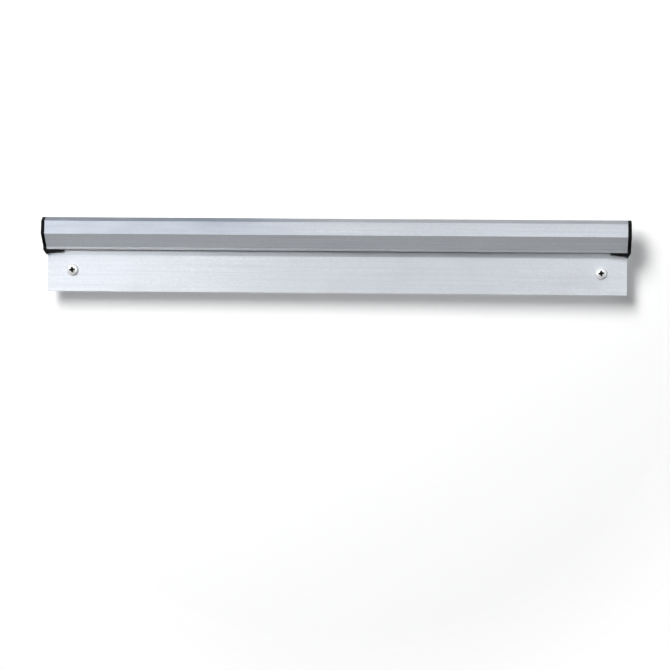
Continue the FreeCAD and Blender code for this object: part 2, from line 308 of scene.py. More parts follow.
def make_satin_aluminium():
    """Extruded aluminium with a satin skin: lengthwise die lines, saw-cut ends, light handling."""
    finish, tree, shader, place = new_finish("satin aluminium extrusion")
    shader.inputs["Anisotropic"].default_value = 0.74
    across = put(tree, "ShaderNodeTangent", direction_type="UV_MAP", uv_map="across lines").outputs[0]
    tree.links.new(across, shader.inputs["Tangent"])
    axes = put(tree, "ShaderNodeSeparateXYZ", {0: place}).outputs

    # Die lines run the whole length: broad streaks, narrow streaks and hairlines
    broad = stretched_noise(tree, place, (3.0, 380.0, 380.0))
    narrow = stretched_noise(tree, place, (11.0, 1000.0, 1000.0), 2.0)
    fine = stretched_noise(tree, place, (9.0, 2600.0, 2600.0), 4.0)
    cloud = stretched_noise(tree, place, (14.0, 40.0, 40.0), 4.0)
    flecks = stretched_noise(tree, place, (420.0, 1100.0, 1100.0), 2.0)
    lines = calc(tree, "MULTIPLY_ADD", broad, 0.25, calc(tree, "MULTIPLY", narrow, 0.50))
    lines = calc(tree, "MULTIPLY_ADD", fine, 0.25, lines)
    lines = spread(tree, lines, 0.36, 0.64, 0.0, 1.0)

    # The saw leaves shallow arcs across the cut ends
    facing = put(tree, "ShaderNodeNewGeometry").outputs["True Normal"]
    end_on = calc(tree, "ABSOLUTE", put(tree, "ShaderNodeSeparateXYZ", {0: facing}).outputs["X"])
    sawn = spread(tree, end_on, 0.80, 0.95, 0.0, 1.0)
    joins = {"Vector": place, "Location": (0.0, 0.11, 0.06), "Scale": (0.0, 1.0, 1.0)}
    blade = put(tree, "ShaderNodeMapping", joins).outputs[0]
    joins = {"Vector": blade, "Scale": 420.0, "Distortion": 1.2, "Detail": 2.0, "Detail Scale": 2.0}
    wave = put(tree, "ShaderNodeTexWave", joins, wave_type="RINGS", rings_direction="SPHERICAL")
    arcs = wave.outputs["Fac"]

    # A turned screw head has scuffed a ring round each hole
    past_x = calc(tree, "SUBTRACT", calc(tree, "ABSOLUTE", axes["X"]), SCREW_X)
    squares = [calc(tree, "MULTIPLY", side, side) for side in (past_x, axes["Z"])]
    from_hole = calc(tree, "SQRT", calc(tree, "ADD", *squares))
    ring = calc(tree, "COMPARE", from_hole, SCUFF_RADIUS, SCUFF_HALF_WIDTH)
    ring = calc(tree, "MULTIPLY", ring, spread(tree, fine, 0.45, 0.6, 0.0, 0.7))

    # Painted shade for the hood's shadow: a grey band on the plate from just under the lip upwards, and a
    # darker lip front, both stronger towards the right
    uneven = spread(tree, stretched_noise(tree, place, (25.0, 200.0, 200.0)), 0.3, 0.7, 0.75, 1.0)
    dust_and_painted_shade = calc(tree, "MULTIPLY", uneven, spread(tree, axes["X"], -0.14, 0.02, 0.45, 1.0))
    on_plate = spread(tree, axes["Z"], *PAINTED_SLOT_SHADE_ON_PLATE, 0.0, 0.55, True)
    on_plate = calc(tree, "MULTIPLY", on_plate, calc(tree, "COMPARE", axes["Y"], PLATE_FRONT, 0.4 * MM))
    on_lip = spread(tree, axes["Z"], *PAINTED_SLOT_SHADE_ON_LIP, 0.50, 0.0, True)
    on_lip = calc(tree, "MULTIPLY", on_lip, spread(tree, axes["Y"], *PAINTED_SLOT_SHADE_LIP_BACK, 1.0, 0.0))
    dust_and_painted_shade = calc(tree, "MULTIPLY", dust_and_painted_shade, calc(tree, "MAXIMUM", on_plate, on_lip))

    # Painted bluish shade on the hood's upper faces above the ridge, stronger on the chamfer and on the
    # left half
    painted_upper_shade = calc(tree, "MULTIPLY", uneven, spread(tree, axes["X"], -0.10, 0.01, 0.53, 0.14, True))
    painted_upper_shade = calc(tree, "MULTIPLY", painted_upper_shade, spread(tree, axes["Z"], *PAINTED_UPPER_SHADE_OVER_RIDGE, 0.0, 1.0, True))
    painted_upper_shade = calc(tree, "MULTIPLY", painted_upper_shade, spread(tree, axes["Z"], *PAINTED_UPPER_SHADE_ON_CHAMFER, 1.0, 1.6))
    painted_upper_shade = calc(tree, "MULTIPLY", painted_upper_shade, spread(tree, axes["Y"], *PAINTED_UPPER_SHADE_BACK_EDGE, 1.0, 0.0, True))

    marks = use(tree, handling_marks, {"Place": place, "Spacing": 0.035, "Wear": 0.6})
    rubbed = use(tree, worn_edges, {"Place": place, "Patch size": 0.012, "Wear": 0.7})["Rubbed"]
    dust = use(tree, settled_dust, {"Place": place, "Amount": 0.35})["Dust"]
    grain = use(tree, fine_grain, {"Place": place, "Grain size": 0.00022, "Depth": 0.35})

    tone = tint(tree, lines, (0.775, 0.793, 0.833), (0.935, 0.943, 0.973))
    tone = tint(tree, spread(tree, flecks, 0.35, 0.70, 0.0, 0.8), tone, (0.76, 0.778, 0.813))
    tone = tint(tree, spread(tree, cloud, 0.35, 0.65, 0.0, 0.4), tone, (0.86, 0.885, 0.92))
    tone = tint(tree, calc(tree, "MULTIPLY", marks["Smudges"], 0.22), tone, (0.74, 0.745, 0.74))
    tone = tint(tree, calc(tree, "MULTIPLY", marks["Scratches"], 0.5), tone, (0.92, 0.93, 0.94))
    cut_ends = calc(tree, "MULTIPLY", sawn, spread(tree, arcs, 0.2, 0.8, 0.35, 0.75))
    tone = tint(tree, cut_ends, tone, (0.52, 0.50, 0.48))
    tone = tint(tree, calc(tree, "MAXIMUM", rubbed, ring), tone, (0.93, 0.935, 0.94))
    tone = tint(tree, dust, tone, (0.52, 0.51, 0.49))
    # Painted shade: the hood's shadow on the plate under the lip and the darker lip front
    tone = tint(tree, dust_and_painted_shade, tone, (0.34, 0.35, 0.37))
    # Painted bluish shade on the upper faces, darker on the left
    tone = tint(tree, painted_upper_shade, tone, (0.29, 0.335, 0.43))
    tree.links.new(tone, shader.inputs["Base Color"])

    rough = spread(tree, lines, 0.0, 1.0, 0.53, 0.47)
    rough = calc(tree, "ADD", rough, calc(tree, "MULTIPLY", marks["Smudges"], 0.10))
    rough = calc(tree, "ADD", rough, calc(tree, "MULTIPLY", dust, 0.4))
    rough = calc(tree, "SUBTRACT", rough, calc(tree, "MULTIPLY", rubbed, 0.08), clamp=True)
    tree.links.new(rough, shader.inputs["Roughness"])
    metal = calc(tree, "SUBTRACT", 0.76, calc(tree, "MULTIPLY", dust, 0.6))
    tree.links.new(metal, shader.inputs["Metallic"])

    long_height = calc(tree, "MULTIPLY_ADD", broad, 0.5, calc(tree, "MULTIPLY", fine, 0.45))
    long_height = calc(tree, "MULTIPLY_ADD", narrow, 0.6, long_height)
    long_height = calc(tree, "ADD", long_height, calc(tree, "MULTIPLY", grain["Height"], 0.25))
    long_height = calc(tree, "SUBTRACT", long_height, calc(tree, "MULTIPLY", marks["Scratches"], 0.3))
    sawn_height = calc(tree, "MULTIPLY", arcs, 1.6)
    height = put(tree, "ShaderNodeMix", {0: sawn, 2: long_height, 3: sawn_height}).outputs[0]
    bump = put(tree, "ShaderNodeBump", {"Strength": 0.35, "Distance": 0.00006, "Height": height})
    tree.links.new(bump.outputs[0], shader.inputs["Normal"])
    return finish


def make_black_plastic():
    """Moulded black plastic with the fine spark-eroded skin of its mould."""
    finish, tree, shader, place = new_finish("moulded black plastic")
    shader.inputs["Specular IOR Level"].default_value = 0.08
    grain = use(tree, fine_grain, {"Place": place, "Grain size": 0.0003, "Depth": 1.0})
    marks = use(tree, handling_marks, {"Place": place, "Spacing": 0.012, "Wear": 0.5})
    rubbed = use(tree, worn_edges, {"Place": place, "Patch size": 0.003, "Wear": 0.5})["Rubbed"]
    dust = use(tree, settled_dust, {"Place": place, "Amount": 0.10})["Dust"]
    flow = stretched_noise(tree, place, (60.0, 90.0, 60.0), 2.0)

    tone = tint(tree, grain["Tone"], (0.0025, 0.0025, 0.0028), (0.006, 0.006, 0.0066))
    tone = tint(tree, calc(tree, "MULTIPLY", marks["Scratches"], 0.5), tone, (0.035, 0.035, 0.037))
    tone = tint(tree, calc(tree, "MULTIPLY", rubbed, 0.6), tone, (0.012, 0.012, 0.013))
    tone = tint(tree, dust, tone, (0.20, 0.195, 0.185))
    tree.links.new(tone, shader.inputs["Base Color"])

    rough = spread(tree, flow, 0.3, 0.7, 0.44, 0.54)
    rough = calc(tree, "ADD", rough, calc(tree, "MULTIPLY", marks["Smudges"], -0.08))
    rough = calc(tree, "SUBTRACT", rough, calc(tree, "MULTIPLY", rubbed, 0.12), clamp=True)
    tree.links.new(rough, shader.inputs["Roughness"])
    bump = put(tree, "ShaderNodeBump", {"Strength": 0.4, "Distance": 0.00008, "Height": grain["Height"]})
    tree.links.new(bump.outputs[0], shader.inputs["Normal"])
    return finish


def make_zinc_plate():
    """Bright zinc plate on steel: faint crystals, rubbed high spots, painted shade down in the recess."""
    finish, tree, shader, place = new_finish("bright zinc plate")
    crystals = put(tree, "ShaderNodeTexVoronoi", {"Vector": place, "Scale": 1400.0}).outputs["Color"]
    crystal = put(tree, "ShaderNodeSeparateColor", {0: crystals}).outputs["Red"]
    grain = use(tree, fine_grain, {"Place": place, "Grain size": 0.00035, "Depth": 0.6})
    marks = use(tree, handling_marks, {"Place": place, "Spacing": 0.005, "Wear": 0.9})
    rubbed = use(tree, worn_edges, {"Place": place, "Patch size": 0.002, "Wear": 0.9})["Rubbed"]
    # Painted shade in the recess: near black, mottled by the grain, not metallic and rougher
    painted_recess_shade = put(tree, "ShaderNodeAttribute", attribute_name="painted_recess_shade").outputs["Fac"]
    painted_shade_mottle = spread(tree, grain["Tone"], 0.35, 0.65, 0.0, 1.0)
    painted_shade_colour = tint(tree, painted_shade_mottle, (0.002, 0.0018, 0.0016), (0.012, 0.010, 0.008))

    tone = tint(tree, crystal, (0.955, 0.96, 0.965), (0.99, 0.99, 0.99))
    tone = tint(tree, calc(tree, "MULTIPLY", marks["Smudges"], 0.25), tone, (0.84, 0.82, 0.77))
    tone = tint(tree, rubbed, tone, (0.97, 0.97, 0.97))
    tone = tint(tree, painted_recess_shade, tone, painted_shade_colour)
    tree.links.new(tone, shader.inputs["Base Color"])
    tree.links.new(calc(tree, "MULTIPLY_ADD", painted_recess_shade, -0.48, 0.48), shader.inputs["Metallic"])
    rough = spread(tree, crystal, 0.0, 1.0, 0.30, 0.38)
    rough = calc(tree, "ADD", rough, calc(tree, "MULTIPLY", painted_recess_shade, 0.5))
    rough = calc(tree, "ADD", rough, calc(tree, "MULTIPLY", marks["Smudges"], 0.08), clamp=True)
    tree.links.new(rough, shader.inputs["Roughness"])
    height = calc(tree, "SUBTRACT", grain["Height"], calc(tree, "MULTIPLY", marks["Scratches"], 0.8))
    bump = put(tree, "ShaderNodeBump", {"Strength": 0.2, "Distance": 0.00005, "Height": height})
    tree.links.new(bump.outputs[0], shader.inputs["Normal"])
    return finish


def make_clear_glass():
    """Pressed green-tinted glass, scuffed by rolling."""
    finish, tree, shader, place = new_finish("pressed clear glass")
    shader.inputs["Transmission Weight"].default_value = 1.0
    shader.inputs["IOR"].default_value = 1.52
    waves = stretched_noise(tree, place, (170.0, 170.0, 170.0), 2.0)
    swirl = stretched_noise(tree, place, (90.0, 420.0, 90.0))
    marks = use(tree, handling_marks, {"Place": place, "Spacing": 0.006, "Wear": 0.8})
    tone = tint(tree, spread(tree, swirl, 0.35, 0.65, 0.0, 1.0), (0.80, 0.93, 0.88), (0.90, 0.97, 0.94))
    tree.links.new(tone, shader.inputs["Base Color"])
    rough = calc(tree, "ADD", 0.03, calc(tree, "MULTIPLY", marks["Scratches"], 0.25))
    rough = calc(tree, "ADD", rough, calc(tree, "MULTIPLY", marks["Smudges"], 0.10), clamp=True)
    tree.links.new(rough, shader.inputs["Roughness"])
    bump = put(tree, "ShaderNodeBump", {"Strength": 0.15, "Distance": 0.0004, "Height": waves})
    tree.links.new(bump.outputs[0], shader.inputs["Normal"])
    return finish


satin_aluminium = make_satin_aluminium()
black_plastic = make_black_plastic()
zinc_plate = make_zinc_plate()
clear_glass = make_clear_glass()


# Making the pieces


def new_piece(name, mesh):
    """A piece of the scene that shows a mesh, with its object at the origin."""
    piece = bpy.data.objects.new(name, mesh)
    bpy.context.scene.collection.objects.link(piece)
    return piece


def grow(piece, tree, values):
    """Give the piece a geometry tree, with its named inputs set before it is first worked out."""
    step = piece.modifiers.new(tree.name, "NODES")
    step.node_group = tree
    for item in tree.interface.items_tree:
        if item.item_type == "SOCKET" and item.in_out == "INPUT" and item.name in values:
            step[item.identifier] = values[item.name]


def settle(piece):
    """Turn the piece's evaluated shape into its own plain mesh, with no modifiers left."""
    graph = bpy.context.evaluated_depsgraph_get()
    mesh = bpy.data.meshes.new_from_object(
        piece.evaluated_get(graph), preserve_all_data_layers=True, depsgraph=graph
    )
    mesh.name = piece.name
    piece.modifiers.clear()
    piece.data = mesh


def break_edges(piece, width, segments, angle):
    """Round the sharp edges a little and keep the flat faces flat."""
    for polygon in piece.data.polygons:
        polygon.use_smooth = True
    bevel = piece.modifiers.new("break edges", "BEVEL")
    bevel.width = width
    bevel.segments = segments
    bevel.limit_method = "ANGLE"
    bevel.angle_limit = math.radians(angle)
    bevel.use_clamp_overlap = True
    weigh = piece.modifiers.new("flat faces", "WEIGHTED_NORMAL")
    weigh.keep_sharp = True
    settle(piece)


def mark_edges(piece, widest):
    """Store where the narrow rounded faces are, for the worn edges."""
    mesh = piece.data
    attribute = mesh.attributes.new("edge", "FLOAT", "FACE")
    values = []
    for polygon in mesh.polygons:
        corners = [mesh.vertices[i].co for i in polygon.vertices]
        sides = [(corners[i] - corners[i - 1]).length for i in range(len(corners))]
        values.append(1.0 if len(corners) <= 4 and polygon.area < widest * max(sides) else 0.0)
    attribute.data.foreach_set("value", values)


def lay_across_lines(piece):
    """A UV map whose U runs round the section, square to the lengthwise lines."""
    per_metre = 4.0
    mesh = piece.data
    layer = mesh.uv_layers.new(name="across lines")
    for polygon in mesh.polygons:
        across = Vector((1.0, 0.0, 0.0)).cross(polygon.normal)
        along = Vector((1.0, 0.0, 0.0))
        if across.length < 0.5:
            across, along = Vector((0.0, 1.0, 0.0)), Vector((0.0, 0.0, 1.0))
        for loop in polygon.loop_indices:
            corner = mesh.vertices[mesh.loops[loop].vertex_index].co
            layer.data[loop].uv = (
                corner.dot(across.normalized()) * per_metre,
                corner.dot(along) * per_metre,
            )


def end_tree(tree, shape, given, result):
    """End a geometry tree: real geometry in place of copies, with its finish on it."""
    whole = put(tree, "GeometryNodeRealizeInstances", {"Geometry": shape}).outputs[0]
    joins = {"Geometry": whole, "Material": given["Finish"]}
    tree.links.new(put(tree, "GeometryNodeSetMaterial", joins).outputs[0], result["Geometry"])


def hole_spots(tree, from_middle):
    """The places of the two holes, left and then right."""
    first = vector(tree, X=calc(tree, "MULTIPLY", from_middle, -1.0))
    apart = vector(tree, X=calc(tree, "MULTIPLY", from_middle, 2.0))
    joins = {"Count": 2, "Start Location": first, "Offset": apart}
    return put(tree, "GeometryNodeMeshLine", joins).outputs[0]


def make_extrusion_tree():
    """The rail: its section, with rounded corners, drawn along X and drilled for two screws."""
    inputs = [
        ("Geometry", "Geometry", None),
        ("Length", "Float", RAIL_LENGTH),
        ("Hole radius", "Float", HOLE_RADIUS),
        ("Hole from middle", "Float", SCREW_X),
        ("Steps in a corner", "Int", 6),
        ("Finish", "Material", None),
    ]
    tree, given, result = new_tree(
        "drawn and drilled rail", "GeometryNodeTree", inputs, [("Geometry", "Geometry")]
    )
    radius = put(tree, "GeometryNodeInputNamedAttribute", {"Name": "corner"}, data_type="FLOAT").outputs[0]
    line = put(tree, "GeometryNodeMeshToCurve", {"Mesh": given["Geometry"]}).outputs[0]
    joins = {"Curve": line, "Radius": radius, "Count": given["Steps in a corner"]}
    rounded = put(tree, "GeometryNodeFilletCurve", joins, mode="POLY").outputs[0]
    face = put(tree, "GeometryNodeFillCurve", {"Curve": rounded}, mode="NGONS").outputs[0]
    up = vector(tree, Z=1.0)
    joins = {"Mesh": face, "Offset": up, "Offset Scale": given["Length"], "Individual": False}
    drawn = put(tree, "GeometryNodeExtrudeMesh", joins).outputs["Mesh"]
    closed = put(tree, "GeometryNodeJoinGeometry")
    tree.links.new(drawn, closed.inputs[0])
    tree.links.new(put(tree, "GeometryNodeFlipFaces", {"Mesh": face}).outputs[0], closed.inputs[0])
    joins = {"Geometry": closed.outputs[0], "Distance": 1e-7}
    solid = put(tree, "GeometryNodeMergeByDistance", joins).outputs[0]
    start = vector(tree, X=calc(tree, "MULTIPLY", given["Length"], -0.5))
    turn = put(tree, "FunctionNodeEulerToRotation", {0: (math.pi / 2, 0.0, math.pi / 2)}).outputs[0]
    joins = {"Geometry": solid, "Translation": start, "Rotation": turn}
    laid = put(tree, "GeometryNodeTransform", joins).outputs[0]

    # Two drills on the line of the holes
    joins = {"Vertices": 64, "Radius": given["Hole radius"], "Depth": DRILL_LENGTH}
    drill = put(tree, "GeometryNodeMeshCylinder", joins).outputs["Mesh"]
    spots = hole_spots(tree, given["Hole from middle"])
    level = put(tree, "FunctionNodeEulerToRotation", {0: (math.pi / 2, 0.0, 0.0)}).outputs[0]
    joins = {"Points": spots, "Instance": drill, "Rotation": level}
    drills = put(tree, "GeometryNodeInstanceOnPoints", joins).outputs[0]
    drills = put(tree, "GeometryNodeRealizeInstances", {"Geometry": drills}).outputs[0]
    joins = {"Mesh 1": laid, "Mesh 2": drills}
    drilled = put(tree, "GeometryNodeMeshBoolean", joins, operation="DIFFERENCE", solver="EXACT")
    end_tree(tree, drilled.outputs[0], given, result)
    return tree


def make_rail():
    """The extrusion, with its edges broken and its places marked for the finish."""
    mesh = bpy.data.meshes.new("rail_section")
    points = [(depth * MM, height * MM, 0.0) for depth, height, radius in SECTION]
    mesh.from_pydata(points, [(i, (i + 1) % len(points)) for i in range(len(points))], [])
    corner = mesh.attributes.new("corner", "FLOAT", "POINT")
    corner.data.foreach_set("value", [radius * MM for depth, height, radius in SECTION])
    rail = new_piece("rail_profile", mesh)
    grow(rail, make_extrusion_tree(), {"Finish": satin_aluminium})
    settle(rail)
    break_edges(rail, RAIL_EDGE_BREAK, segments=2, angle=50)
    mark_edges(rail, RAIL_EDGE_WIDEST)
    lay_across_lines(rail)
    return rail


def turned_shape(rows, segments):
    """A closed shape turned about +Y. Rows are pairs of radius and height, from pole to pole."""
    mesh = bmesh.new()
    rings = []
    for radius, y in rows[1:-1]:
        angles = [2 * math.pi * i / segments for i in range(segments)]
        rings.append([mesh.verts.new((radius * math.cos(a), y, radius * math.sin(a))) for a in angles])
    first, last = [mesh.verts.new((0, y, 0)) for radius, y in (rows[0], rows[-1])]
    for i in range(segments):
        j = (i + 1) % segments
        mesh.faces.new((first, rings[0][i], rings[0][j]))
        mesh.faces.new((last, rings[-1][j], rings[-1][i]))
        for below, above in zip(rings, rings[1:]):
            mesh.faces.new((below[i], above[i], above[j], below[j]))
    bmesh.ops.recalc_face_normals(mesh, faces=mesh.faces)
    return mesh


def cut_with(piece, shape, turn, place):
    """Take a shape away from a piece, once it has been turned and moved to its place."""
    bmesh.ops.transform(shape, matrix=Matrix.Translation(place) @ turn, verts=shape.verts)
    mesh = bpy.data.meshes.new("cutter")
    shape.to_mesh(mesh)
    shape.free()
    tool = new_piece("cutter", mesh)
    cut = piece.modifiers.new("cut", "BOOLEAN")
    cut.operation = "DIFFERENCE"
    cut.solver = "EXACT"
    cut.object = tool
    settle(piece)
    bpy.data.objects.remove(tool)


def make_cap(side):
    """One end cap: the moulding with its edges softened and a gate mark in its outer face."""
    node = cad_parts["end_cap_" + side]
    shape = bmesh.new()
    shape.from_mesh(node.data)
    bmesh.ops.remove_doubles(shape, verts=shape.verts, dist=1e-6)
    bmesh.ops.dissolve_limit(shape, angle_limit=math.radians(0.5), verts=shape.verts, edges=shape.edges)
    mesh = bpy.data.meshes.new("cap_" + side)
    shape.to_mesh(mesh)
    shape.free()
    mesh.materials.clear()
    mesh.materials.append(black_plastic)
    cap = new_piece("cap_" + side, mesh)
    hand = -1.0 if side == "left" else 1.0
    face = (hand * (RAIL_LENGTH / 2 + CAP_FLANGE), *GATE_PLACE)
    outwards = Matrix.Rotation(hand * math.pi / 2, 4, "Z")
    cut_with(cap, turned_shape(GATE_ROWS, segments=32), outwards, face)
    break_edges(cap, CAP_EDGE_BREAK, segments=3, angle=40)
    mark_edges(cap, CAP_EDGE_WIDEST)
    return cap


def crown_height(radius):
    """The Y of a screw head's slightly domed crown at a distance from its middle."""
    rim = HEAD_RADIUS - HEAD_SIDE_RADIUS
    dome = (rim * rim + HEAD_CROWN * HEAD_CROWN) / (2 * HEAD_CROWN)
    return SEAT_Y - HEAD_HEIGHT + dome - math.sqrt(dome**2 - radius**2)


def screw_rows():
    """The turned outline of a screw, from the middle of its crown to its point."""
    rim = HEAD_RADIUS - HEAD_SIDE_RADIUS
    top = SEAT_Y - HEAD_HEIGHT
    radii = [rim * step / CROWN_STEPS for step in range(CROWN_STEPS + 1)]
    rows = [(radius, crown_height(radius)) for radius in radii]
    for step in range(1, SIDE_STEPS + 1):
        angle = math.pi / 2 * step / SIDE_STEPS
        y = top + HEAD_CROWN + HEAD_SIDE_RADIUS * (1 - math.cos(angle))
        rows.append((rim + HEAD_SIDE_RADIUS * math.sin(angle), y))
    return rows + [
        (HEAD_RADIUS, SEAT_Y - HEAD_FOOT),
        (HEAD_RADIUS - 0.3 * HEAD_FOOT, SEAT_Y - 0.3 * HEAD_FOOT),
        (HEAD_RADIUS - HEAD_FOOT, SEAT_Y),
        (NECK_RADIUS, SEAT_Y),
        (SHANK_RADIUS, 0.0),
        (SHANK_RADIUS, SEAT_Y + SHANK_END),
        (CORE_RADIUS, SEAT_Y + CORE_START),
        (CORE_RADIUS, SEAT_Y + THREAD_END),
        (POINT_MIDDLE[0], SEAT_Y + THREAD_END + POINT_MIDDLE[1]),
        (POINT_TIP[0], SEAT_Y + POINT_END - POINT_TIP[1]),
        (0.0, SEAT_Y + POINT_END),
    ]


def recess_loop(depth):
    """The cross recess at one depth below the crown: rounded wings, a round core and a flared mouth."""
    share = depth / RECESS_FLOOR
    flare = max(0.0, min(1.0, 1.0 - depth / RECESS_FLARE_DEPTH))
    wing, half, core = [
        (crown - loss * share + more * flare) * MM for crown, loss, more in RECESS_SIZES
    ]
    points = []
    for quarter in range(4):
        turn = quarter * math.pi / 2
        tip = math.asin(half / wing)
        side = math.asin(half / core)
        arcs = [(wing, turn - tip, 2 * tip), (core, turn + side, math.pi / 2 - 2 * side)]
        for radius, start, sweep in arcs:
            for step in range(RECESS_ARC_STEPS + 1):
                angle = start + sweep * step / RECESS_ARC_STEPS
                points.append((radius * math.cos(angle), radius * math.sin(angle)))
    y = SEAT_Y - HEAD_HEIGHT + depth * MM
    return [(x, y, z) for x, z in points]


def make_recess_cutter():
    """The shape that cuts the recess: its outlines one below the other, down to a blunt point."""
    mesh = bmesh.new()
    loops = [[mesh.verts.new(point) for point in recess_loop(depth)] for depth in RECESS_DEPTHS]
    floor = mesh.verts.new((0, SEAT_Y - HEAD_HEIGHT + RECESS_MIDDLE * MM, 0))
    count = len(loops[0])
    mesh.faces.new(loops[0])
    for i in range(count):
        j = (i + 1) % count
        for above, below in zip(loops, loops[1:]):
            mesh.faces.new((above[i], above[j], below[j], below[i]))
        mesh.faces.new((loops[-1][i], loops[-1][j], floor))
    bmesh.ops.recalc_face_normals(mesh, faces=mesh.faces)
    return mesh


def make_screws_tree():
    """Two screws from one: a thread on a helix, joined to the turned blank, set in both holes."""
    inputs = [
        ("Geometry", "Geometry", None),
        ("Pitch", "Float", THREAD_PITCH),
        ("Core radius", "Float", CORE_RADIUS),
        ("Crest radius", "Float", SHANK_RADIUS - THREAD_RELIEF),
        ("Thread start", "Float", SEAT_Y + SHANK_END),
        ("Thread end", "Float", SEAT_Y + THREAD_END),
        ("Hole from middle", "Float", SCREW_X),
        ("Left turn", "Float", math.radians(RECESS_TURNS[0])),
        ("Right turn", "Float", math.radians(RECESS_TURNS[1])),
        ("Finish", "Material", None),
    ]
    tree, given, result = new_tree(
        "threaded screws", "GeometryNodeTree", inputs, [("Geometry", "Geometry")]
    )

    # A helix about Z along the core, and on it a ridge that swells out of the core and dies away
    length = calc(tree, "SUBTRACT", given["Thread end"], given["Thread start"])
    turns = calc(tree, "DIVIDE", length, given["Pitch"])
    steps = calc(tree, "MULTIPLY", turns, THREAD_STEPS)
    ends = {"Start": (0.0, 0.0, 0.0), "End": (0.0, 0.0, 1.0)}
    path = put(tree, "GeometryNodeCurvePrimitiveLine", ends).outputs[0]
    path = put(tree, "GeometryNodeResampleCurve", {"Curve": path, "Count": steps}).outputs[0]
    along = put(tree, "GeometryNodeSplineParameter").outputs["Factor"]
    angle = calc(tree, "MULTIPLY", calc(tree, "MULTIPLY", along, turns), 2 * math.pi)
    radius = calc(tree, "SUBTRACT", given["Core radius"], THREAD_RELIEF)
    helix = vector(
        tree,
        X=calc(tree, "MULTIPLY", radius, calc(tree, "COSINE", angle)),
        Y=calc(tree, "MULTIPLY", radius, calc(tree, "SINE", angle)),
        Z=calc(tree, "MULTIPLY", along, length),
    )
    path = put(tree, "GeometryNodeSetPosition", {"Geometry": path, "Position": helix}).outputs[0]
    path = put(tree, "GeometryNodeSetCurveNormal", {"Curve": path}, mode="Z_UP").outputs[0]
    depth = calc(tree, "SUBTRACT", given["Crest radius"], radius)
    fade_in = spread(tree, along, 0.0, 0.05, 0.15, 1.0)
    fade_out = spread(tree, along, 0.95, 1.0, 1.0, 0.15)
    fade = calc(tree, "MULTIPLY", fade_in, fade_out)
    joins = {
        "Point 1": vector(tree, X=0.0, Y=-THREAD_HALF_ROOT),
        "Point 2": vector(tree, X=depth, Y=-THREAD_HALF_CREST),
        "Point 3": vector(tree, X=depth, Y=THREAD_HALF_CREST),
        "Point 4": vector(tree, X=0.0, Y=THREAD_HALF_ROOT),
    }
    ridge = put(tree, "GeometryNodeCurvePrimitiveQuadrilateral", joins, mode="POINTS").outputs[0]
    joins = {"Curve": path, "Profile Curve": ridge, "Scale": fade, "Fill Caps": True}
    thread = put(tree, "GeometryNodeCurveToMesh", joins).outputs[0]
    upright = put(tree, "FunctionNodeEulerToRotation", {0: (-math.pi / 2, 0.0, 0.0)}).outputs[0]
    shift = vector(tree, Y=given["Thread start"])
    joins = {"Geometry": thread, "Rotation": upright, "Translation": shift}
    thread = put(tree, "GeometryNodeTransform", joins).outputs[0]
    union = put(tree, "GeometryNodeJoinGeometry")
    tree.links.new(thread, union.inputs[0])
    tree.links.new(given["Geometry"], union.inputs[0])

    # One in each hole, each turned as it was driven
    spots = hole_spots(tree, given["Hole from middle"])
    index = put(tree, "GeometryNodeInputIndex").outputs[0]
    driven = spread(tree, index, 0.0, 1.0, given["Left turn"], given["Right turn"])
    euler = vector(tree, Y=calc(tree, "MULTIPLY", driven, -1.0))
    turn = put(tree, "FunctionNodeEulerToRotation", {0: euler}).outputs[0]
    joins = {"Points": spots, "Instance": union.outputs[0], "Rotation": turn}
    pair = put(tree, "GeometryNodeInstanceOnPoints", joins).outputs[0]
    end_tree(tree, pair, given, result)
    return tree


def make_screws():
    """The two wall screws: pan heads with a cross recess, shanks, threads and points."""
    blank = turned_shape(screw_rows(), HEAD_SEGMENTS)
    mesh = bpy.data.meshes.new("screw_blank")
    blank.to_mesh(mesh)
    blank.free()
    screws = new_piece("screw_pair", mesh)
    cut_with(screws, make_recess_cutter(), Matrix.Identity(4), (0, 0, 0))

    # Painted shade lies on the walls and floor of the recess: the faces near the axis, a little under the
    # crown
    painted_recess_shade = screws.data.attributes.new("painted_recess_shade", "FLOAT", "FACE")
    values = []
    for polygon in screws.data.polygons:
        across = math.hypot(polygon.center.x, polygon.center.z)
        below = polygon.center.y - crown_height(across)
        in_painted_shade = across < PAINTED_RECESS_SHADE_REACH and PAINTED_RECESS_SHADE_START < below < PAINTED_RECESS_SHADE_REACH
        values.append(1.0 if in_painted_shade else 0.0)
    painted_recess_shade.data.foreach_set("value", values)
    grow(screws, make_screws_tree(), {"Finish": zinc_plate})
    settle(screws)
    for polygon in screws.data.polygons:
        polygon.use_smooth = True
    screws.data.set_sharp_from_angle(angle=math.radians(35))
    return screws


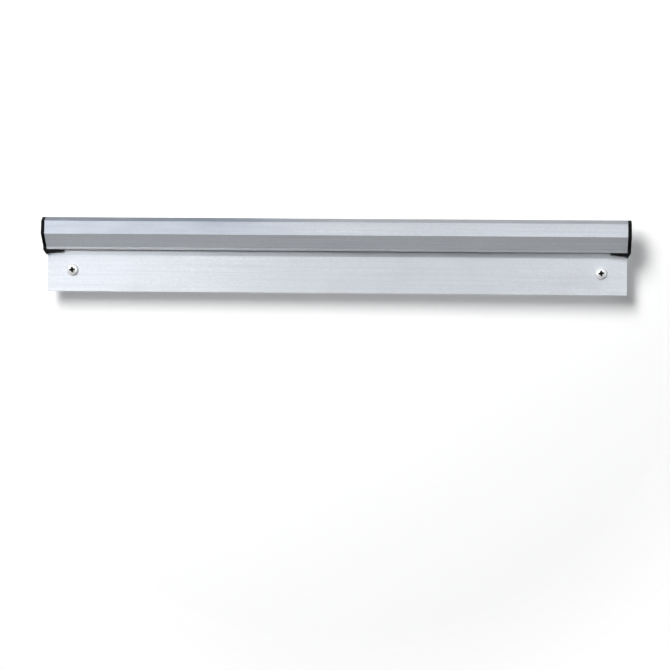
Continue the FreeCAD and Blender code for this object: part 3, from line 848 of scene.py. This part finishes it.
def make_ball_tree():
    """One ball of the row, a little out of round, in its seat between the plate and the slope."""
    inputs = [
        ("Geometry", "Geometry", None),
        ("Ball number", "Int", 0),
        ("Balls in the row", "Int", BALL_COUNT),
        ("Radius", "Float", BALL_RADIUS),
        ("Row length", "Float", BALL_RUN),
        ("Seat", "Vector", (0.0, *BALL_SEAT)),
        ("Out of round", "Float", BALL_OUT_OF_ROUND),
        ("Finish", "Material", None),
    ]
    tree, given, result = new_tree(
        "ball in its seat", "GeometryNodeTree", inputs, [("Geometry", "Geometry")]
    )
    ball = put(tree, "GeometryNodeMeshIcoSphere", {"Radius": given["Radius"], "Subdivisions": 5}).outputs[0]
    place = put(tree, "GeometryNodeInputPosition").outputs[0]
    joins = {"Vector": place, "W": given["Ball number"], "Scale": 180.0, "Detail": 1.0}
    noise = put(tree, "ShaderNodeTexNoise", joins, noise_dimensions="4D").outputs["Fac"]
    share = calc(tree, "MULTIPLY", noise, calc(tree, "MULTIPLY", given["Out of round"], -1.0))
    outward = put(tree, "GeometryNodeInputNormal").outputs[0]
    dent = put(tree, "ShaderNodeVectorMath", {0: outward, "Scale": share}, operation="SCALE").outputs[0]
    ball = put(tree, "GeometryNodeSetPosition", {"Geometry": ball, "Offset": dent}).outputs[0]
    pitch = calc(tree, "DIVIDE", given["Row length"], given["Balls in the row"])
    half_row = calc(tree, "DIVIDE", given["Balls in the row"], 2.0)
    middle = calc(tree, "SUBTRACT", calc(tree, "ADD", given["Ball number"], 0.5), half_row)
    along = vector(tree, X=calc(tree, "MULTIPLY", middle, pitch))
    seat = put(tree, "ShaderNodeVectorMath", {0: along, 1: given["Seat"]}, operation="ADD").outputs[0]
    ball = put(tree, "GeometryNodeTransform", {"Geometry": ball, "Translation": seat}).outputs[0]
    ball = put(tree, "GeometryNodeSetShadeSmooth", {0: ball, "Shade Smooth": True}).outputs[0]
    end_tree(tree, ball, given, result)
    return tree


rail = make_rail()
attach(rail, "rail")
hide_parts("rail_extrusion")

for side in ("left", "right"):
    cap = make_cap(side)
    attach(cap, "rail")
    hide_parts("end_cap_" + side)

screws = make_screws()
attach(screws, "rail")
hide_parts("wall_screws")

ball_tree = make_ball_tree()
for number in range(BALL_COUNT):
    name = f"ball_{number + 1:02d}"
    ball = new_piece("glass_" + name, bpy.data.meshes.new("glass_" + name))
    grow(ball, ball_tree, {"Ball number": number, "Finish": clear_glass})
    settle(ball)
    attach(ball, name)
    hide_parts(name)


# Stage: a white backdrop behind the rail and a pale floor, seen from their front sides only


def make_stage_finish(name, colour, glow, fade_start, fade_end):
    """A plain pale surface that shows shadows near the rail and fades into the white behind it."""
    finish = bpy.data.materials.new(name)
    finish.use_nodes = True
    tree = finish.node_tree
    tree.nodes.clear()
    place = put(tree, "ShaderNodeTexCoord").outputs["Object"]
    away = put(tree, "ShaderNodeVectorMath", {0: place}, operation="LENGTH").outputs["Value"]
    gone = spread(tree, away, fade_start, fade_end, 0.0, 1.0, True)
    grain = use(tree, fine_grain, {"Place": place, "Grain size": 0.004, "Depth": 1.0})["Tone"]
    tone = tint(tree, grain, [c * 0.985 for c in colour], colour)
    lit = put(tree, "ShaderNodeBsdfDiffuse", {"Color": tone}).outputs[0]
    rays = put(tree, "ShaderNodeLightPath").outputs
    seen = calc(tree, "MAXIMUM", rays["Is Camera Ray"], rays["Is Glossy Ray"])
    seen = calc(tree, "MULTIPLY", calc(tree, "MAXIMUM", seen, rays["Is Transmission Ray"]), glow)
    white = put(tree, "ShaderNodeEmission", {"Color": (1.0, 1.0, 1.0, 1.0), "Strength": seen}).outputs[0]
    pale = put(tree, "ShaderNodeAddShader", {0: lit, 1: white}).outputs[0]
    clear = put(tree, "ShaderNodeBsdfTransparent").outputs[0]
    behind = put(tree, "ShaderNodeNewGeometry").outputs["Backfacing"]
    hide = calc(tree, "MAXIMUM", gone, behind)
    surface = put(tree, "ShaderNodeMixShader", {0: hide, 1: pale, 2: clear}).outputs[0]
    put(tree, "ShaderNodeOutputMaterial", {"Surface": surface})
    return finish


def make_sheet(name, corners, finish):
    """A flat sheet that only the camera sees, so that it neither lights nor shades the rail."""
    mesh = bpy.data.meshes.new(name)
    mesh.from_pydata(corners, [], [(0, 1, 2, 3)])
    mesh.materials.append(finish)
    sheet = new_piece(name, mesh)
    sheet.visible_diffuse = False
    sheet.visible_glossy = False
    sheet.visible_transmission = False
    sheet.visible_shadow = False


WALL_Y = 0.017
WALL_REACH = 1.5
FLOOR_Z = -0.6
FLOOR_REACH = 3.0
wall_white = make_stage_finish("white backdrop", (0.97, 0.97, 0.97), 0.16, 0.27, 0.40)
floor_pale = make_stage_finish("pale floor", (0.93, 0.93, 0.92), 0.45, 1.2, 2.0)
corners = [(-1, -1), (1, -1), (1, 1), (-1, 1)]
make_sheet("backdrop", [(x * WALL_REACH, WALL_Y, z * WALL_REACH) for x, z in corners], wall_white)
make_sheet("floor", [(x * FLOOR_REACH, y * FLOOR_REACH, FLOOR_Z) for x, y in corners], floor_pale)


# Light


def make_world():
    """A pale studio: white behind the rail, and for its metal a dim front between paler sides and floor."""
    world = bpy.data.worlds.new("pale studio")
    bpy.context.scene.world = world
    world.use_nodes = True
    tree = world.node_tree
    tree.nodes.clear()
    facing = put(tree, "ShaderNodeTexCoord").outputs["Generated"]
    axes = put(tree, "ShaderNodeSeparateXYZ", {0: facing}).outputs

    # What the metal reflects: the floor, brighter on the left, and the sides above it
    floor = spread(tree, axes["Z"], -1.0, -0.45, 0.40, 0.08, True)
    floor = calc(tree, "MULTIPLY", floor, spread(tree, axes["X"], -0.9, 0.9, 1.2, 0.5))
    sides = spread(tree, calc(tree, "ABSOLUTE", axes["X"]), 0.50, 0.80, 0.0, 0.50, True)
    level = spread(tree, axes["Z"], -0.9, 0.2, 0.5, 1.0, True)
    level = calc(tree, "MULTIPLY_ADD", sides, level, floor)
    rays = put(tree, "ShaderNodeLightPath").outputs
    level = spread(tree, rays["Is Diffuse Ray"], 0.0, 1.0, level, 0.06)

    # White behind the rail: near the level for the metal, and all round for the camera and the glass
    back = spread(tree, axes["Y"], 0.1, 0.45, 0.0, 1.0, True)
    height = calc(tree, "ABSOLUTE", axes["Z"])
    back = calc(tree, "MULTIPLY", back, spread(tree, height, 0.25, 0.6, 1.0, 0.0, True))
    level = calc(tree, "MAXIMUM", level, back)
    seen = calc(tree, "MAXIMUM", rays["Is Camera Ray"], rays["Is Transmission Ray"])
    level = spread(tree, seen, 0.0, 1.0, level, 1.0)
    colour = tint(tree, seen, (0.96, 0.98, 1.0), (1.0, 1.0, 1.0))
    background = put(tree, "ShaderNodeBackground", {"Color": colour, "Strength": level}).outputs[0]
    put(tree, "ShaderNodeOutputWorld", {"Surface": background})


def make_lamp(name, place, size, watts, colour, lights):
    """A soft lamp that points at the rail and lights either its colour or its shine."""
    lamp = bpy.data.lights.new(name, "AREA")
    lamp.shape = "RECTANGLE"
    lamp.size, lamp.size_y = size
    lamp.energy = watts
    lamp.color = colour
    holder = bpy.data.objects.new(name, lamp)
    holder.location = place
    holder.rotation_euler = (-Vector(place)).to_track_quat("-Z", "Y").to_euler()
    holder.visible_camera = False
    holder.visible_diffuse = lights == "colour"
    holder.visible_glossy = lights == "shine"
    bpy.context.scene.collection.objects.link(holder)


KEY_PLACE = (-0.74, -1.957, 1.15)
make_world()
make_lamp("key", KEY_PLACE, (0.7, 1.3), 46.0, (1.0, 1.0, 1.0), "colour")
make_lamp("key_soft", KEY_PLACE, (1.4, 2.0), 27.0, (1.0, 1.0, 1.0), "colour")
make_lamp("high", (0.20, -2.00, 1.40), (0.6, 0.4), 2.8, (0.84, 0.92, 1.0), "shine")
make_lamp("high_right", (0.70, -2.00, 1.40), (0.6, 0.4), 2.5, (0.93, 0.965, 1.0), "shine")
make_lamp("front_left", (-0.68, -2.00, 0.30), (0.7, 0.4), 10.0, (0.92, 0.96, 1.0), "shine")
make_lamp("front_right", (0.66, -2.00, 0.10), (0.8, 0.4), 6.8, (0.95, 0.975, 1.0), "shine")


# Camera, at the photograph's place

CAMERA_PLACE = (0.14156, -2.0, -0.04992)
CAMERA_YAW = 0.0705
CAMERA_ROLL = -0.0094
CAMERA_LENS = 136.7


def make_camera():
    """The camera at the photograph's place, turned a little to the left and rolled."""
    lens = bpy.data.cameras.new("camera")
    lens.sensor_width = 36.0
    lens.lens = CAMERA_LENS
    lens.clip_start = 0.01
    lens.clip_end = 20.0
    camera = bpy.data.objects.new("camera", lens)
    turn = Matrix.Rotation(CAMERA_YAW, 4, "Z") @ Matrix.Rotation(CAMERA_ROLL, 4, "Y")
    level = Matrix.Rotation(math.radians(90), 4, "X")
    camera.matrix_world = Matrix.Translation(CAMERA_PLACE) @ turn @ level
    bpy.context.scene.collection.objects.link(camera)
    bpy.context.scene.camera = camera


make_camera()
bpy.context.scene.view_settings.view_transform = "Standard"
